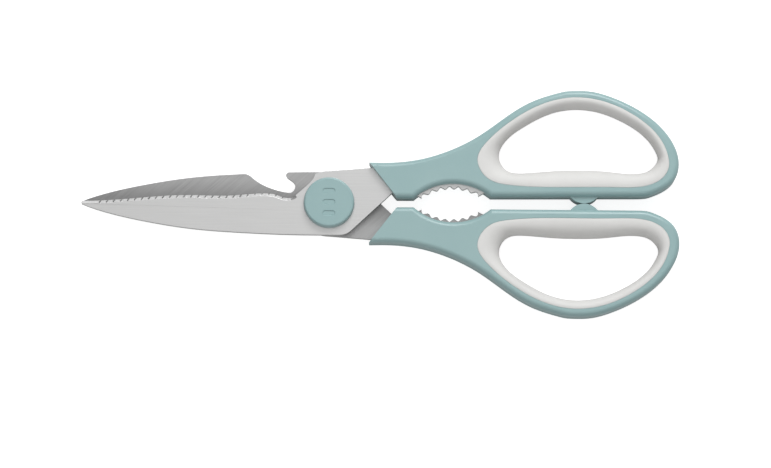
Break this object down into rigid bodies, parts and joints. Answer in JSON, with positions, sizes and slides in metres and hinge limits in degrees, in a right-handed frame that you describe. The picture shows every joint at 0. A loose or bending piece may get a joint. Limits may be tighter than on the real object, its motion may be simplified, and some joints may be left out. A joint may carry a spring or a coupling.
{
  "type": "poultry shears",
  "caption": "Kitchen and poultry shears: two pivoting steel blades, moulded loop handles with soft grip rings, a nutcracker recess, a hooked bone notch and a capped pivot.",
  "frame": {"origin": "on the pivot axis, at the flat back of the pivot screw's head, in the plane that the closed shears lie on", "axes": "+X towards the handles, -X towards the blade tips; +Y towards the front half's handle; +Z out of the face with the pivot cap"},
  "size_m": [0.2241, 0.0856, 0.0111],
  "materials": {
    "blade_steel": "satin, ground lengthways, with diagonal grinding marks on the inner faces",
    "handle_plastic": "fine matt, pale grey-turquoise",
    "grip_rubber": "soft matt, light warm grey",
    "pivot_steel": "turned steel",
    "washer_plastic": "natural acetal"
  },
  "bodies": {
    "front_half": {"front_blade": "blade_steel", "front_handle": "handle_plastic", "front_grip": "grip_rubber", "pivot_cap": "handle_plastic", "pivot_screw": "pivot_steel", "pivot_nut": "pivot_steel", "spring_washer": "pivot_steel", "friction_washer": "washer_plastic"},
    "rear_half": {"rear_blade": "blade_steel", "rear_handle": "handle_plastic", "rear_grip": "grip_rubber"}
  },
  "joints": [
    {"name": "pivot", "type": "hinge", "parent": "front_half", "child": "rear_half", "pos_m": [0, 0, 0.0055], "axis": [0, 0, -1], "range_deg": [0, 90]}
  ]
}
